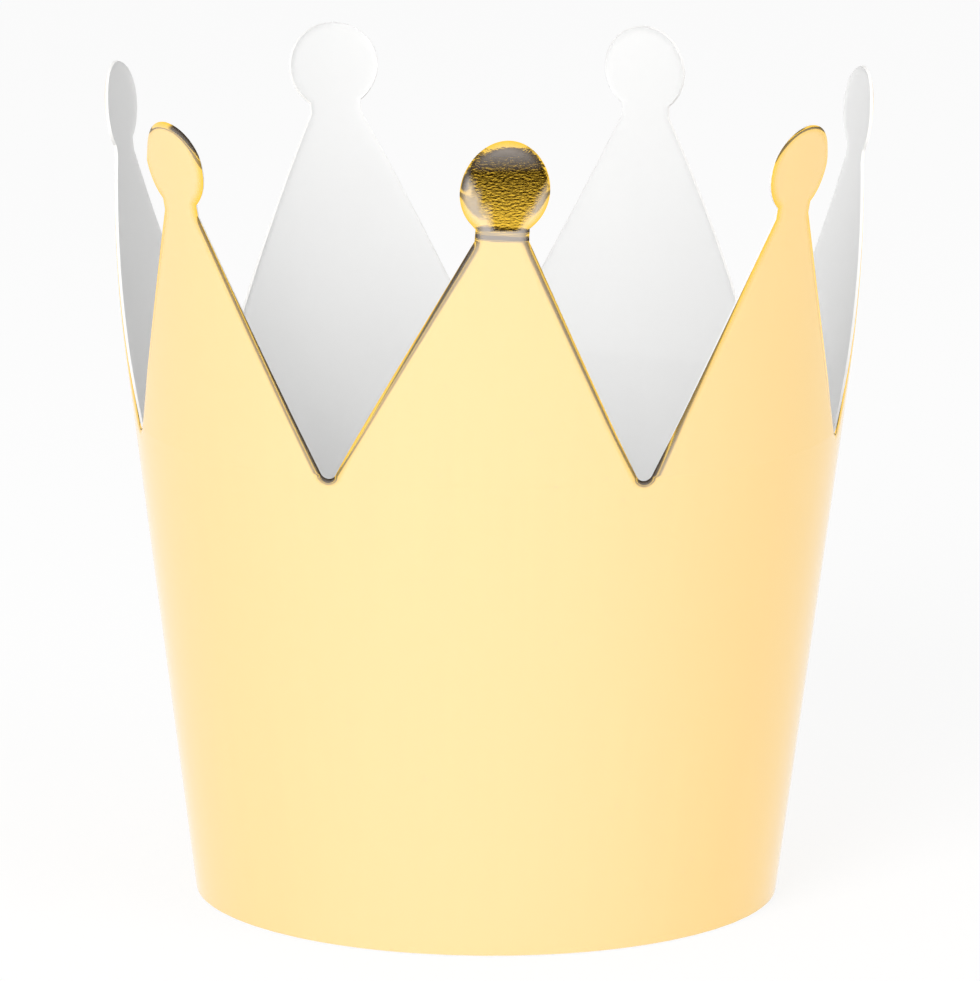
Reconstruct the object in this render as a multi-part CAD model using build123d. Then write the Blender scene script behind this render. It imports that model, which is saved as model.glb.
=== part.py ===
from build123d import *
from math import acos, atan2, cos, degrees, hypot, pi, radians, sin, sqrt, tan
import os

os.makedirs("parts", exist_ok=True)

# Paper crown, millimetres, +Z up, standing on its bottom edge at z = 0.
# The axis of the rolled card is Z; one point faces -Y and the glued lap is at +Y.

# ---- driving dimensions ----
HEIGHT = 100.0           # bottom edge to the top of the balls
BOTTOM_DIAMETER = 71.5   # across the outside of the bottom edge
FLARE = radians(7.3)     # lean of the rolled wall from the vertical
POINTS = 7
CARD = 0.35              # thickness of the card
VALLEY = 59.6            # up the card, bottom edge to the floor of a valley
VALLEY_RADIUS = 1.1
BALL_DIAMETER = 11.0
NECK_WIDTH = 6.5
NECK_LENGTH = 1.4        # straight part below the ball
LAP_RAMP = 3.0           # the card steps in by its own thickness over this length
TAB_ANGLE = radians(12)  # glue tab behind the lap, as an angle about Z
TAB_DROP = 1.5           # top of the tab below the floor of the valley over it
TAB_CORNER = 3.0         # cut off the free top corner of the tab

# ---- dependent sizes ----
bottom_radius = BOTTOM_DIAMETER / 2
half_pitch = pi / POINTS
roll_radius = bottom_radius / sin(FLARE)     # bottom edge to the apex, on the flat blank
top_of_ball = HEIGHT / cos(FLARE)
ball_radius = BALL_DIAMETER / 2
ball_centre = top_of_ball - ball_radius
neck_top = ball_centre - sqrt(ball_radius**2 - (NECK_WIDTH / 2) ** 2)
neck_foot = neck_top - NECK_LENGTH
margin = 4.0                                 # how far cutters run past the card


def rolled(across, up):
    """Where a place on the flat blank lands when the card is rolled.

    The place is measured across and up from the middle of the bottom edge of one
    point. It comes out as it is seen square-on to the wall at the valley beside
    that point, across and up from the bottom edge.
    """
    reach = hypot(across, roll_radius + up)
    turn = half_pitch + atan2(across, roll_radius + up) / sin(FLARE)
    radius = reach * sin(FLARE)
    height = (reach - roll_radius) * cos(FLARE)
    return (
        radius * sin(turn),
        (radius * cos(turn) - bottom_radius) * sin(FLARE) + height * cos(FLARE),
    )


def wall_plane(up):
    """Plane across the wall at the back of the crown, at a height up the card.

    Its X runs along the wall, its Y out of the card and its Z up the card.
    """
    return Plane(
        origin=(0, bottom_radius + up * sin(FLARE), up * cos(FLARE)),
        x_dir=(1, 0, 0),
        z_dir=(0, sin(FLARE), cos(FLARE)),
    )


def arc(centre, radius, start, end, steps):
    """Places along an arc of the flat blank, both ends included."""
    return [
        (centre[0] + radius * cos(start + (end - start) * i / steps),
         centre[1] + radius * sin(start + (end - start) * i / steps))
        for i in range(steps + 1)
    ]


def half_notch():
    """Runs of the blank's outline from the valley floor up to the top of the ball."""
    tilt = half_pitch * sin(FLARE)           # of the valley's centre line, on the blank
    reach = roll_radius + VALLEY + VALLEY_RADIUS
    fillet = (-reach * sin(tilt), reach * cos(tilt) - roll_radius)
    neck = (-NECK_WIDTH / 2, neck_foot)
    gap = (neck[0] - fillet[0], neck[1] - fillet[1])
    contact = atan2(gap[1], gap[0]) - acos(VALLEY_RADIUS / hypot(*gap))
    floor_run = arc(fillet, VALLEY_RADIUS, tilt - pi / 2, contact, 6)
    foot = floor_run[-1]                     # the straight side leaves the fillet here
    side_run = [
        (foot[0] + (neck[0] - foot[0]) * i / 4, foot[1] + (neck[1] - foot[1]) * i / 4)
        for i in range(5)
    ]
    shoulder = atan2(neck_top - ball_centre, neck[0])
    ball_run = arc((0, ball_centre), ball_radius, shoulder, -3 * pi / 2, 12)
    return [floor_run, side_run, [neck, (neck[0], neck_top)], ball_run]


def notch():
    """Cutter for the whole gap between two points, square to the wall at the back."""
    runs = [[rolled(*place) for place in run] for run in half_notch()]
    crest = runs[-1][-1]
    over = (crest[0] + margin, crest[1] + 2 * margin)     # clear of the next ball
    edges = [Spline(*run) if len(run) > 2 else Line(*run) for run in runs]
    half = Curve() + edges + Polyline(crest, over, (0, over[1]))
    gap = make_face(half + mirror(half, about=Plane.YZ))
    square_on = Plane(
        origin=(0, bottom_radius, 0), x_dir=(1, 0, 0), z_dir=(0, -cos(FLARE), sin(FLARE))
    )
    return extrude(square_on * gap, amount=bottom_radius, both=True)


def rolled_card():
    """The rolled card with its points, its two ends edge to edge at the back."""
    low, high = -margin, HEIGHT + margin
    blank = Cone(
        bottom_radius + low * tan(FLARE),
        bottom_radius + high * tan(FLARE),
        high - low,
        align=(Align.CENTER, Align.CENTER, Align.MIN),
    )
    wall = (Pos(0, 0, low) * Rot(0, 0, 90) * blank).faces().filter_by(GeomType.CONE)[0]
    gaps = [spot * notch() for spot in PolarLocations(0, POINTS)]
    return Solid.thicken((wall - gaps).face(), -CARD)


def crown():
    """The card, its tab and the wedge by which it steps in under its other end."""
    length = margin + VALLEY - TAB_DROP
    across = wall_plane(-margin)
    section = Plane.YZ * Polyline(
        *[
            (bottom_radius + up * sin(FLARE) - depth * cos(FLARE),
             up * cos(FLARE) + depth * sin(FLARE))
            for up, depth in (
                (-margin, CARD / 2), (-margin, 2 * CARD),
                (length - margin, 2 * CARD), (length - margin, CARD / 2),
            )
        ],
        close=True,
    )
    tab = revolve(make_face(section), axis=Axis.Z, revolution_arc=degrees(TAB_ANGLE))
    corner = tab.edges().filter_by(GeomType.LINE).group_by(Axis.Z)[-1].sort_by(Axis.X)[0]
    tab = chamfer(corner, TAB_CORNER)
    wedge = Polyline((0, -2 * CARD), (LAP_RAMP, -CARD), (0, -CARD / 2), close=True)
    step = Polyline((0, -CARD), (LAP_RAMP, 0), (LAP_RAMP, 1), (0, 1), close=True)
    lapped = (
        rolled_card()
        + tab
        + extrude(across * make_face(wedge), amount=length)
        - extrude(across * make_face(step), amount=length)
    )
    return split(lapped, bisect_by=Plane.XY, keep=Keep.TOP)


part = crown()
print(f"volume {part.volume:.1f} mm3, {len(part.faces())} faces, valid {part.is_valid}")
print(part.bounding_box())
export_step(part, "parts/card_crown.step")
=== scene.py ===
"""Paper crown: one die-cut sheet of gold foil card, rolled into a cone, in a plain white studio."""

from __future__ import annotations

import logging
import math
from dataclasses import dataclass

import bpy
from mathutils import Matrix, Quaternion, Vector

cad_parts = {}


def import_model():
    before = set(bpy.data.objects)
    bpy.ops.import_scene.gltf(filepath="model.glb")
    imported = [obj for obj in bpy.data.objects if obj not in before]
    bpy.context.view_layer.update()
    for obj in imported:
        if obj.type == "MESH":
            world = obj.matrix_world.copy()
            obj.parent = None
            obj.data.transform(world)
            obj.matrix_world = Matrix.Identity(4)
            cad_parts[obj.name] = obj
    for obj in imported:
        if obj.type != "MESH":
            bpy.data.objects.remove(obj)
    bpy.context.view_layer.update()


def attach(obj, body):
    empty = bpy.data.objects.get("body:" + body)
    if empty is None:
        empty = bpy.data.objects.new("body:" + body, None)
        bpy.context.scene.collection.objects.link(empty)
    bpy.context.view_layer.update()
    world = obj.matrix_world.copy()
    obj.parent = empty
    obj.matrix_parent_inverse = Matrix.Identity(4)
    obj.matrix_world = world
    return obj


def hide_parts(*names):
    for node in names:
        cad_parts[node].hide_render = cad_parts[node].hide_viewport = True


log = logging.getLogger("crown")

MM = 0.001

Colour = tuple[float, float, float, float]
Triple = tuple[float, float, float]

WHITE: Colour = (1.0, 1.0, 1.0, 1.0)


# --------------------------------------------------------------------------- shader maths


class Sock:
    """A node socket that can be added, multiplied and so on, as a number can."""

    def __init__(self, dress: Dress, out: bpy.types.NodeSocket | None) -> None:
        """Wraps one output socket of the material that dress is building."""
        self.dress = dress
        self.out = out

    def _math(self, operation: str, a: Sock | float, b: Sock | float) -> Sock:
        """Adds one Math node."""
        return self.dress.node("ShaderNodeMath", {"operation": operation}, {0: a, 1: b})

    def __add__(self, other: Sock | float) -> Sock:
        """self + other"""
        return self._math("ADD", self, other)

    def __radd__(self, other: Sock | float) -> Sock:
        """other + self"""
        return self._math("ADD", other, self)

    def __sub__(self, other: Sock | float) -> Sock:
        """self - other"""
        return self._math("SUBTRACT", self, other)

    def __rsub__(self, other: Sock | float) -> Sock:
        """other - self"""
        return self._math("SUBTRACT", other, self)

    def __mul__(self, other: Sock | float) -> Sock:
        """self * other"""
        return self._math("MULTIPLY", self, other)

    def __rmul__(self, other: Sock | float) -> Sock:
        """other * self"""
        return self._math("MULTIPLY", other, self)

    def __pow__(self, other: Sock | float) -> Sock:
        """self ** other"""
        return self._math("POWER", self, other)

    def over(self, other: Sock | float) -> Sock:
        """1 where self is more than other, else 0."""
        return self._math("GREATER_THAN", self, other)

    def larger(self, other: Sock | float) -> Sock:
        """The larger of self and other."""
        return self._math("MAXIMUM", self, other)


class Dress:
    """Builds the node tree of one material or of the world."""

    def __init__(self, tree: bpy.types.NodeTree) -> None:
        """Empties the tree that it is going to fill."""
        self.tree = tree
        tree.nodes.clear()

    def node(
        self, kind: str, settings: dict[str, object] | None = None,
        values: dict[object, object] | None = None, out: int | str = 0,
    ) -> Sock:
        """Adds a node.

        Args:
            kind: the node's type.
            settings: its own properties, which are set first.
            values: a number, a colour or a Sock for each named socket.
            out: which output to hand back.

        Returns:
            The chosen output.
        """
        made = self.tree.nodes.new(kind)
        for name, value in (settings or {}).items():
            setattr(made, name, value)
        for name, value in (values or {}).items():
            target = made.inputs[name]
            if isinstance(value, Sock):
                self.tree.links.new(value.out, target)
            else:
                target.default_value = value
        return Sock(self, made.outputs[out]) if made.outputs else Sock(self, None)

    def rescale(self, value: Sock, low: float, high: float) -> Sock:
        """0 where value is low, 1 where it is high, and a smooth step between."""
        return self.node(
            "ShaderNodeMapRange", {"interpolation_type": "SMOOTHSTEP"},
            {"Value": value, "From Min": low, "From Max": high},
        )

    def mix(self, fac: Sock | float, a: Sock | Colour, b: Sock | Colour) -> Sock:
        """Colour a where fac is 0 and colour b where it is 1."""
        return self.node(
            "ShaderNodeMix", {"data_type": "RGBA"}, {0: fac, 6: a, 7: b}, out=2
        )

    def noise(self, where: Sock, scale: float, detail: float = 2.0) -> Sock:
        """Noise between 0 and 1."""
        return self.node(
            "ShaderNodeTexNoise", {}, {"Vector": where, "Scale": scale, "Detail": detail}
        )

    def mapped(self, where: Sock, scale: Triple) -> Sock:
        """Stretches the place that a pattern is read at."""
        return self.node("ShaderNodeMapping", {}, {"Vector": where, "Scale": scale})


def new_material(name: str) -> tuple[bpy.types.Material, Dress]:
    """Makes an empty node material and the builder that fills it."""
    made = bpy.data.materials.new(name)
    made.use_nodes = True
    return made, Dress(made.node_tree)


# --------------------------------------------------------------------------- finishes


@dataclass(frozen=True)
class GoldFoil:
    """Bright gold foil on the outside of the card, polished under a thin milky haze."""

    gold: Colour = (1.0, 0.66, 0.08, 1.0)
    deep_gold: Colour = (0.86, 0.44, 0.015, 1.0)
    roughness: float = 0.12
    haze: Colour = (0.98, 0.90, 0.84, 1.0)
    haze_amount: float = 0.36
    haze_roughness: float = 0.5
    streak_stretch: Triple = (900.0, 14.0, 1.0)
    streak_detail: float = 3.0
    streak_share: float = 0.34
    streak_height: float = 0.05
    grain_scale: float = 2600.0
    grain_share: float = 0.3
    grain_height: float = 0.02
    wrinkle_stretch: Triple = (1.0, 2.1, 1.0)
    wrinkle_scale: float = 950.0
    wrinkle_detail: float = 2.5
    wrinkle_height: float = 6.0
    speck_tone: Colour = (0.55, 0.33, 0.06, 1.0)
    speck_scale: float = 210.0
    speck_edge: tuple[float, float] = (0.10, 0.05)
    speck_share: float = 0.6
    patch_scale: float = 160.0
    patch_over: float = 0.60           # specks lie only where this noise is higher
    bump_distance: float = 0.02 * MM

    def specks(self, d: Dress, sheet: Sock) -> Sock:
        """Finds the few small dark specks.

        Args:
            d: the builder of the foil's nodes.
            sheet: the place on the flat sheet.

        Returns:
            1 in a speck, 0 on clear foil.
        """
        spots = {"Vector": sheet, "Scale": self.speck_scale}
        distance = d.node("ShaderNodeTexVoronoi", {"feature": "F1"}, spots, out="Distance")
        rare = d.noise(sheet, self.patch_scale, 0.0).over(self.patch_over)
        return d.rescale(distance, *self.speck_edge) * rare

    def make(self) -> bpy.types.Material:
        """Builds the material.

        Returns:
            The foil.
        """
        made, d = new_material("gold_foil")
        sheet = d.node("ShaderNodeTexCoord", out="UV")
        place = d.node("ShaderNodeTexCoord", out="Object")
        rim = d.node("ShaderNodeAttribute", {"attribute_name": "rim"}, out="Fac")
        crackle = d.node("ShaderNodeAttribute", {"attribute_name": "crackle"}, out="Fac")
        streaks = d.noise(d.mapped(sheet, self.streak_stretch), 1.0, self.streak_detail)
        grain = d.noise(place, self.grain_scale, 2.0)
        wrinkle = d.noise(d.mapped(sheet, self.wrinkle_stretch), self.wrinkle_scale, self.wrinkle_detail)
        tone = d.mix(streaks * self.streak_share + grain * self.grain_share, self.gold, self.deep_gold)
        tone = d.mix(self.specks(d, sheet) * self.speck_share, tone, self.speck_tone)
        height = grain * self.grain_height + streaks * self.streak_height
        height = height + crackle * wrinkle * self.wrinkle_height
        bump = d.node(
            "ShaderNodeBump", {}, {"Strength": 1.0, "Distance": self.bump_distance, "Height": height}
        )
        metal = d.node(
            "ShaderNodeBsdfPrincipled", {},
            {"Base Color": tone, "Metallic": 1.0, "Roughness": self.roughness, "Normal": bump},
        )
        haze = d.node(
            "ShaderNodeBsdfPrincipled", {},
            {"Base Color": self.haze, "Metallic": 0.0, "Roughness": self.haze_roughness, "Normal": bump},
        )
        veil = (1.0 - crackle) * (1.0 - rim) * self.haze_amount
        foil = d.node("ShaderNodeMixShader", {}, {0: veil, 1: metal, 2: haze})
        d.node("ShaderNodeOutputMaterial", {}, {"Surface": foil})
        return made


@dataclass(frozen=True)
class WhiteCard:
    """Uncoated white card: the inside of the crown, and its cut edge."""

    name: str = "white_card"
    white: Colour = (0.84, 0.84, 0.835, 1.0)
    shade: Colour = (0.80, 0.80, 0.795, 1.0)
    roughness: float = 0.62
    fibre_scale: float = 900.0
    fibre_detail: float = 4.0
    fibre_share: float = 0.25
    bump_distance: float = 0.004 * MM

    def make(self) -> bpy.types.Material:
        """Builds the material.

        Returns:
            The card.
        """
        made, d = new_material(self.name)
        place = d.node("ShaderNodeTexCoord", out="Object")
        fibre = d.noise(place, self.fibre_scale, self.fibre_detail)
        tone = d.mix(fibre * self.fibre_share, self.white, self.shade)
        bump = d.node(
            "ShaderNodeBump", {}, {"Strength": 1.0, "Distance": self.bump_distance, "Height": fibre}
        )
        card = d.node(
            "ShaderNodeBsdfPrincipled", {},
            {"Base Color": tone, "Roughness": self.roughness, "Normal": bump},
        )
        d.node("ShaderNodeOutputMaterial", {}, {"Surface": card})
        return made


# --------------------------------------------------------------------------- the crown


def spread(first: float, last: float, steps: int) -> list[float]:
    """Evenly spaced values from first to last, both included."""
    return [first + (last - first) * i / steps for i in range(steps + 1)]


def clamp(value: float) -> float:
    """Keeps a value between 0 and 1."""
    return min(1.0, max(0.0, value))


@dataclass(frozen=True)
class Bearing:
    """How one point stands after handling."""

    lean: float = 0.0        # slope sideways
    tilt: float = 0.0        # slope outwards, from the root up
    curl: float = 0.0        # slope outwards gained over each curl run up the point
    left: float = 0.35       # how far the left cut edge is pressed back, 1 being all the way
    right: float = 0.35      # the same on the right
    top: float = 0.5         # the same round the top of the ball
    nod: float = 0.0         # how far the ball is bent back, 1 being all the way


@dataclass
class CardCrown:
    """The sheet: laid out flat, rolled into its cone and given its thickness."""

    bottom_radius: float = 35.75 * MM
    flare: float = math.radians(7.3)
    height: float = 100.0 * MM
    points: int = 7
    card: float = 0.35 * MM
    valley: float = 59.3 * MM
    valley_radius: float = 1.15 * MM
    ball_radius: float = 5.5 * MM
    neck_half: float = 3.25 * MM
    neck_length: float = 1.4 * MM
    press_reach: float = 0.95 * MM     # width of the strip that the die turns back
    press_depth: float = 0.50 * MM
    valley_press: float = 0.55         # how far the edge is pressed back in the valleys
    lean_ease: float = 8.0 * MM        # height over which a lean sets in
    curl_run: float = 20.0 * MM
    creases: tuple[float, ...] = (0.35 * MM, 1.25 * MM)     # above the foot of a bent neck
    crease_depth: float = 0.26 * MM
    crease_width: float = 0.34 * MM
    crease_slope: float = 0.06
    nod_bend: float = 0.026
    bearings: tuple[Bearing, ...] = (
        Bearing(0.073, -0.01, 0.0, 1.0, 0.75, 1.0, 1.0),
        Bearing(0.012, -0.121, 0.115, 0.25, 0.2, 0.45),
        Bearing(0.09, -0.009, -0.003),
        Bearing(0.056, 0.064, -0.065),
        Bearing(-0.085, 0.006, 0.146),
        Bearing(-0.10, 0.0, 0.003),
        Bearing(-0.007, -0.089, 0.1, 0.25, 0.6, 1.0),
    )
    turned: float = -0.0064            # the whole crown about its axis
    floor_steps: int = 9               # spans along each stretch of the outline
    side_steps: int = 34
    neck_steps: int = 6
    ball_steps: int = 44
    band_rows: int = 16
    band_close: tuple[float, ...] = (2.6, 1.7, 1.2, 0.85, 0.6, 0.4, 0.2)    # mm under a valley
    column_gaps: tuple[float, ...] = (
        0.0, 0.007, 0.015, 0.024, 0.035, 0.048, 0.064, 0.085, 0.115, 0.16, 0.24, 0.36, 0.52, 0.76,
    )                                  # from a cut edge, as shares of half a point's width
    sheet_pitch: float = 36.0 * MM     # from one point to the next in the UV map
    sheet_scale: float = 2.0
    sheet_start: float = 0.1
    weld: float = 0.012 * MM
    smooth_below: float = math.radians(50)

    def __post_init__(self) -> None:
        """Works out the sizes that follow from the others."""
        self.apex = self.bottom_radius / math.sin(self.flare)
        self.half_pitch = math.pi / self.points
        self.crest = self.height / math.cos(self.flare)
        self.ball_centre = self.crest - self.ball_radius
        self.neck_top = self.ball_centre - math.sqrt(self.ball_radius**2 - self.neck_half**2)
        self.neck_foot = self.neck_top - self.neck_length
        self.edge = self.half_outline()

    def half_outline(self) -> list[tuple[float, float]]:
        """Draws half of a point's outline on the flat blank.

        Returns:
            Places as (across, up), from the valley floor to the top of the ball.
        """
        tilt = self.half_pitch * math.sin(self.flare)
        reach = self.apex + self.valley + self.valley_radius
        middle, level = reach * math.sin(tilt), reach * math.cos(tilt) - self.apex
        gap = (self.neck_half - middle, self.neck_foot - level)
        contact = math.atan2(gap[1], gap[0]) + math.acos(self.valley_radius / math.hypot(*gap))
        turns = spread(-math.pi / 2 - tilt, contact - 2 * math.pi, self.floor_steps)
        floor = [
            (middle + self.valley_radius * math.cos(turn), level + self.valley_radius * math.sin(turn))
            for turn in turns
        ]
        foot = floor[-1]
        side = list(zip(
            spread(foot[0], self.neck_half, self.side_steps),
            spread(foot[1], self.neck_foot, self.side_steps),
        ))
        neck = [(self.neck_half, up) for up in spread(self.neck_foot, self.neck_top, self.neck_steps)]
        low = math.asin((self.neck_top - self.ball_centre) / self.ball_radius)
        ball = [
            (self.ball_radius * math.cos(turn), self.ball_centre + self.ball_radius * math.sin(turn))
            for turn in spread(low, math.pi / 2, self.ball_steps)
        ]
        return floor + side[1:] + neck[1:] + ball[1:]

    def pressed(self, across: float, up: float) -> float:
        """Finds how near a place is to the die-cut edge.

        Args:
            across: place on the flat blank, from the middle of the point.
            up: height on the flat blank.

        Returns:
            1 on the edge, falling to 0 where the pressed strip begins.
        """
        best = self.press_reach
        x = abs(across)
        for (x0, y0), (x1, y1) in zip(self.edge, self.edge[1:]):
            if up < y0 - self.press_reach or up > y1 + self.press_reach:
                continue
            dx, dy = x1 - x0, y1 - y0
            along = clamp(((x - x0) * dx + (up - y0) * dy) / (dx * dx + dy * dy))
            best = min(best, math.hypot(x - x0 - dx * along, up - y0 - dy * along))
        return max(0.0, 1.0 - best / self.press_reach)

    def strength(self, who: Bearing, across: float, up: float) -> float:
        """Finds how hard the edge near a place is pressed back.

        Args:
            who: the point's bearing.
            across: place on the flat blank, from the middle of the point.
            up: height on the flat blank.

        Returns:
            A share, 1 being all the way.
        """
        side = 0.5 + 0.5 * math.tanh(across / (1.2 * MM))
        level = who.left + (who.right - who.left) * side
        high = clamp((up - self.ball_centre) / (2.0 * MM))
        low = clamp((self.valley + 7 * MM - up) / (6 * MM))
        return level + (who.top - level) * high + (self.valley_press - level) * low * (1.0 - high)

    def bent(self, who: Bearing, across: float, up: float) -> float:
        """Finds how far a creased neck and a bent ball stand back.

        Args:
            who: the point's bearing.
            across: place on the flat blank, from the middle of the point.
            up: height on the flat blank.

        Returns:
            Metres outwards, so a bend backwards is below 0.
        """
        if not who.nod:
            return 0.0
        level = up + self.crease_slope * across
        folds = [clamp((level - self.neck_foot - crease) / self.crease_width) for crease in self.creases]
        over = max(0.0, level - self.neck_top)
        return -self.crease_depth * sum(folds) - who.nod * self.nod_bend * over * over / MM

    def place(self, index: int, across: float, up: float) -> Vector:
        """Rolls a place on the flat blank of one point onto the cone.

        Args:
            index: which point, from 0 at the front.
            across: place on the flat blank, from the middle of the point.
            up: height on the flat blank.

        Returns:
            The place on the finished crown.
        """
        who = self.bearings[index]
        rise = max(0.0, up - self.valley)
        back = self.pressed(across, up)
        out = -self.press_depth * self.strength(who, across, up) * back * back
        out += who.tilt * rise + who.curl * rise * rise / (2 * self.curl_run)
        out += self.bent(who, across, up)
        x = across + who.lean * rise * rise / (rise + self.lean_ease)
        turn = math.atan2(x, self.apex + up) / math.sin(self.flare)
        slant = math.hypot(x, self.apex + up) - self.apex
        angle = self.turned + 2 * self.half_pitch * index + turn
        radius = self.bottom_radius + slant * math.sin(self.flare) + out * math.cos(self.flare)
        z = slant * math.cos(self.flare) - out * math.sin(self.flare)
        return Vector((radius * math.sin(angle), -radius * math.cos(angle), z))

    def crackled(self, index: int, across: float, up: float) -> float:
        """Finds how crackled the foil is: only up the middle of the front ball.

        Args:
            index: which point, from 0 at the front.
            across: place on the flat blank, from the middle of the point.
            up: height on the flat blank.

        Returns:
            0 for smooth foil, 1 for the most crackled.
        """
        if index or up < self.neck_top - 0.2 * MM:
            return 0.0
        rise = (up - self.neck_top) / (2 * self.ball_radius)
        wide = (2.0 + 3.6 * min(1.0, rise * 1.7)) * MM
        side = clamp((wide - abs(across - 0.5 * MM)) / (0.8 * MM))
        top = clamp((0.86 - rise) / 0.25)
        return side * (0.25 + 0.75 * top)

    def rows(self) -> list[tuple[float, float]]:
        """Lists the rows of the grid, from the bottom edge to the top of the ball.

        Returns:
            The half angle that each row spans round the crown, and its slant height.
        """
        last = self.band_rows - 1
        band = [(self.half_pitch, self.valley * i / self.band_rows) for i in range(last)]
        close = [(self.half_pitch, self.valley - drop * MM) for drop in self.band_close]
        point = [
            (math.atan2(x, self.apex + up) / math.sin(self.flare), math.hypot(x, self.apex + up) - self.apex)
            for x, up in self.edge
        ]
        return band + close + point

    def shell(self) -> bpy.types.Object:
        """Makes the sheet as one layer, with its attributes and its UV map.

        Returns:
            The sheet, not yet welded and without thickness.
        """
        steps = sorted({round(s, 4) for gap in self.column_gaps for s in (gap - 1.0, 1.0 - gap)} | {0.0})
        rows, wide = self.rows(), len(steps)
        places: list[Vector] = []
        rims: list[float] = []
        cracks: list[float] = []
        sheet: list[tuple[float, float]] = []
        faces: list[tuple[int, ...]] = []
        for index in range(self.points):
            first = len(places)
            for swing, slant in rows:
                reach = self.apex + slant
                for step in steps:
                    turn = swing * step * math.sin(self.flare)
                    across, up = reach * math.sin(turn), reach * math.cos(turn) - self.apex
                    places.append(self.place(index, across, up))
                    rims.append(self.pressed(across, up))
                    cracks.append(self.crackled(index, across, up))
                    along = (across + index * self.sheet_pitch) * self.sheet_scale + self.sheet_start
                    sheet.append((along, up * self.sheet_scale))
            for row in range(len(rows) - 1):
                for col in range(wide - 1):
                    a = first + row * wide + col
                    faces.append((a, a + 1, a + wide + 1, a + wide))
        mesh = bpy.data.meshes.new("crown_sheet")
        mesh.from_pydata(places, [], faces)
        mesh.attributes.new("rim", "FLOAT", "POINT").data.foreach_set("value", rims)
        mesh.attributes.new("crackle", "FLOAT", "POINT").data.foreach_set("value", cracks)
        layer = mesh.uv_layers.new(name="UVMap")
        for loop in mesh.loops:
            layer.data[loop.index].uv = sheet[loop.vertex_index]
        return bpy.data.objects.new("crown_sheet", mesh)

    def build(self) -> bpy.types.Object:
        """Makes the sheet, welds it, dresses it and gives it its thickness.

        Returns:
            The finished crown.
        """
        piece = self.shell()
        bpy.context.scene.collection.objects.link(piece)
        bpy.context.view_layer.objects.active = piece
        piece.select_set(True)
        bpy.ops.object.mode_set(mode="EDIT")
        bpy.ops.mesh.select_all(action="SELECT")
        bpy.ops.mesh.remove_doubles(threshold=self.weld)
        bpy.ops.object.mode_set(mode="OBJECT")
        for finish in (GoldFoil(), WhiteCard(), WhiteCard("cut_edge", (0.93, 0.92, 0.90, 1.0))):
            piece.data.materials.append(finish.make())
        body = piece.modifiers.new("body", "SOLIDIFY")
        body.thickness = self.card
        body.offset = -1.0
        body.material_offset = 1
        body.material_offset_rim = 2
        bpy.ops.object.modifier_apply(modifier=body.name)
        bpy.ops.object.shade_smooth_by_angle(angle=self.smooth_below)
        return piece


# --------------------------------------------------------------------------- the studio


@dataclass(frozen=True)
class SoftLamp:
    """A round soft lamp that faces the crown and isn't mirrored in the foil."""

    name: str
    place: Triple
    size: float
    watts: float

    def add(self, target: Triple) -> None:
        """Adds the lamp, turned towards target."""
        data = bpy.data.lights.new(self.name, "AREA")
        data.shape = "DISK"
        data.size = self.size
        data.energy = self.watts
        made = bpy.data.objects.new(self.name, data)
        bpy.context.scene.collection.objects.link(made)
        made.location = self.place
        made.rotation_euler = (Vector(target) - Vector(self.place)).to_track_quat("-Z", "Y").to_euler()
        made.visible_glossy = False


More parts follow.
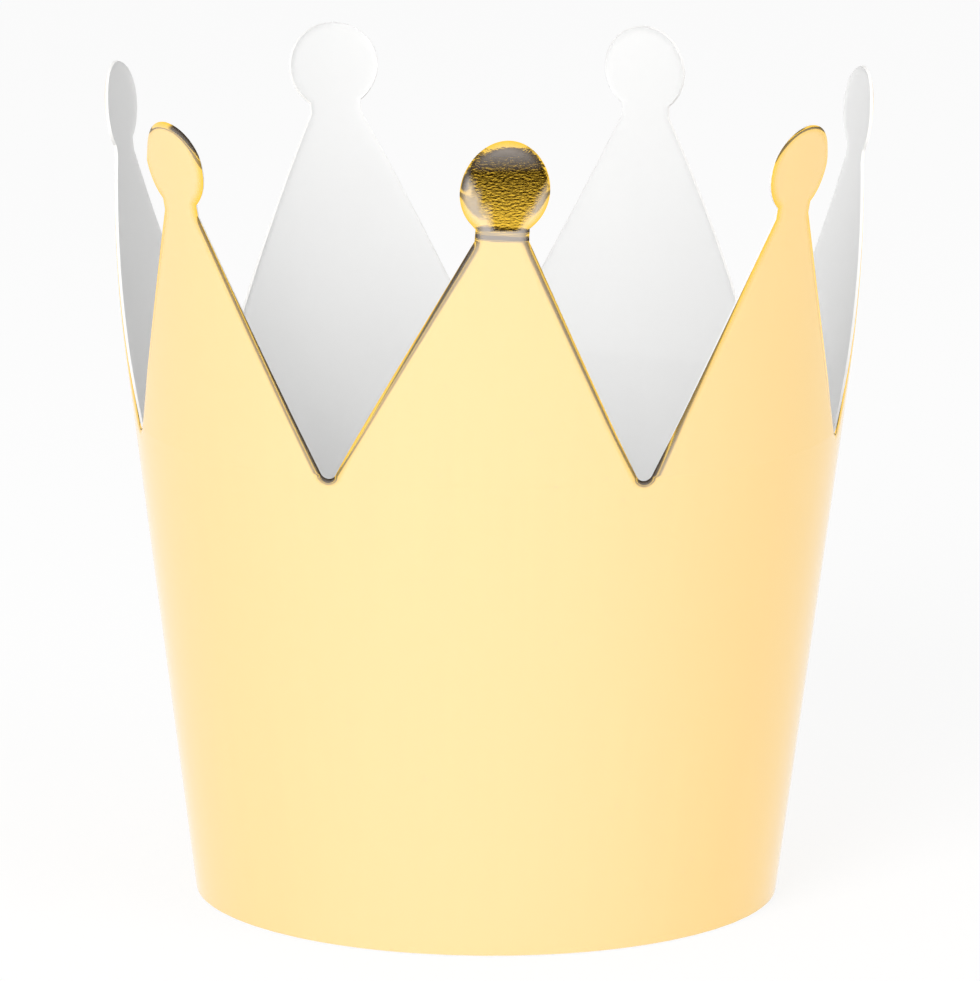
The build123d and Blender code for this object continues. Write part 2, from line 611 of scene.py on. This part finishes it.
@dataclass(frozen=True)
class Studio:
    """Pale floor, soft light, a dark band above the front, and the camera."""

    middle: Triple = (0.0, 0.0, 0.05)
    distance: float = 1.15
    elevation: float = 0.2069
    aim: Triple = (0.00020937, 0.0, 0.0494273)
    roll: float = 0.0057
    lens: float = 344.79                               # focal length, mm
    lamps: tuple[SoftLamp, ...] = (
        SoftLamp("key", (-0.45, -1.1, 0.6), 0.7, 11.0),
        SoftLamp("fill", (0.9, -0.8, 0.8), 0.9, 3.0),
    )
    floor_size: float = 6.0
    floor_drop: float = 0.2 * MM
    floor_paint: Colour = (0.95, 0.95, 0.95, 1.0)
    floor_glow: float = 1.04
    floor_glow_share: float = 0.8
    floor_mirrored: float = 0.16                       # added for what the foil mirrors
    floor_far_loss: float = 1.18                       # taken from it outside the pale disc
    disc_y: float = 0.3
    disc_edge: tuple[float, float] = (0.60, 0.66)
    world_level: float = 0.55
    world_seen: float = 0.47                           # added for what the camera sees
    world_mirrored: float = 0.60                       # added for what the foil mirrors
    band_tone: Colour = (0.02, 0.015, 0.01, 1.0)
    band_low: tuple[float, float] = (0.02, 0.06)
    band_high: tuple[float, float] = (0.90, 0.82)
    band_front: tuple[float, float] = (0.15, -0.05)

    def camera(self) -> None:
        """Places the camera."""
        data = bpy.data.cameras.new("camera")
        data.lens = self.lens
        made = bpy.data.objects.new("camera", data)
        bpy.context.scene.collection.objects.link(made)
        back = -self.distance * math.cos(self.elevation)
        made.location = (0.0, back, self.middle[2] + self.distance * math.sin(self.elevation))
        look = Vector(self.aim) - made.location
        turn = look.to_track_quat("-Z", "Y") @ Quaternion((0, 0, 1), self.roll)
        made.rotation_euler = turn.to_euler()
        bpy.context.scene.camera = made

    def floor(self) -> None:
        """Adds the floor: pale and matt, white to the camera, and dark far off in the foil."""
        bpy.ops.mesh.primitive_plane_add(size=self.floor_size, location=(0, 0, -self.floor_drop))
        made = bpy.context.object
        made.name = "floor"
        skin, d = new_material("pale_floor")
        camera, mirrored, through = (
            d.node("ShaderNodeLightPath", out=f"Is {kind} Ray")
            for kind in ("Camera", "Glossy", "Transmission")
        )
        seen = camera.larger(mirrored).larger(through)
        matt = d.node("ShaderNodeBsdfDiffuse", {}, {"Color": self.floor_paint})
        way = d.node("ShaderNodeTexCoord", out="Object")
        x, y = (d.node("ShaderNodeSeparateXYZ", {}, {"Vector": way}, out=i) for i in range(2))
        from_disc = (x * x + (y - self.disc_y) * (y - self.disc_y)) ** 0.5
        far = d.rescale(from_disc, *self.disc_edge)
        glow = self.floor_glow + mirrored * (self.floor_mirrored - far * self.floor_far_loss)
        white = d.node("ShaderNodeEmission", {}, {"Color": WHITE, "Strength": glow})
        both = d.node("ShaderNodeMixShader", {}, {0: seen * self.floor_glow_share, 1: matt, 2: white})
        d.node("ShaderNodeOutputMaterial", {}, {"Surface": both})
        made.data.materials.append(skin)

    def world(self) -> None:
        """Adds white surroundings, with a dark band above the front that only the foil mirrors."""
        world = bpy.data.worlds.new("studio")
        bpy.context.scene.world = world
        world.use_nodes = True
        d = Dress(world.node_tree)
        way = d.node("ShaderNodeTexCoord", out="Generated")
        y, z = (d.node("ShaderNodeSeparateXYZ", {}, {"Vector": way}, out=i) for i in (1, 2))
        camera, mirrored = (
            d.node("ShaderNodeLightPath", out=f"Is {kind} Ray") for kind in ("Camera", "Glossy")
        )
        band = d.rescale(z, *self.band_low) * d.rescale(z, *self.band_high) * d.rescale(y, *self.band_front)
        tone = d.mix(band * mirrored, WHITE, self.band_tone)
        level = self.world_level + camera * self.world_seen + mirrored * self.world_mirrored
        back = d.node("ShaderNodeBackground", {}, {"Color": tone, "Strength": level})
        d.node("ShaderNodeOutputWorld", {}, {"Surface": back})

    def build(self) -> None:
        """Sets the whole studio up."""
        self.floor()
        self.world()
        for lamp in self.lamps:
            lamp.add(self.middle)
        self.camera()
        bpy.context.scene.view_settings.view_transform = "Standard"


def main() -> None:
    """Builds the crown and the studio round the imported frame."""
    logging.basicConfig(level=logging.INFO)
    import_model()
    bpy.ops.object.select_all(action="DESELECT")
    crown = CardCrown().build()
    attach(crown, "root")
    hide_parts("card_crown")
    log.info("%s: %d faces", crown.name, len(crown.data.polygons))
    Studio().build()


if __name__ == "__main__":
    main()
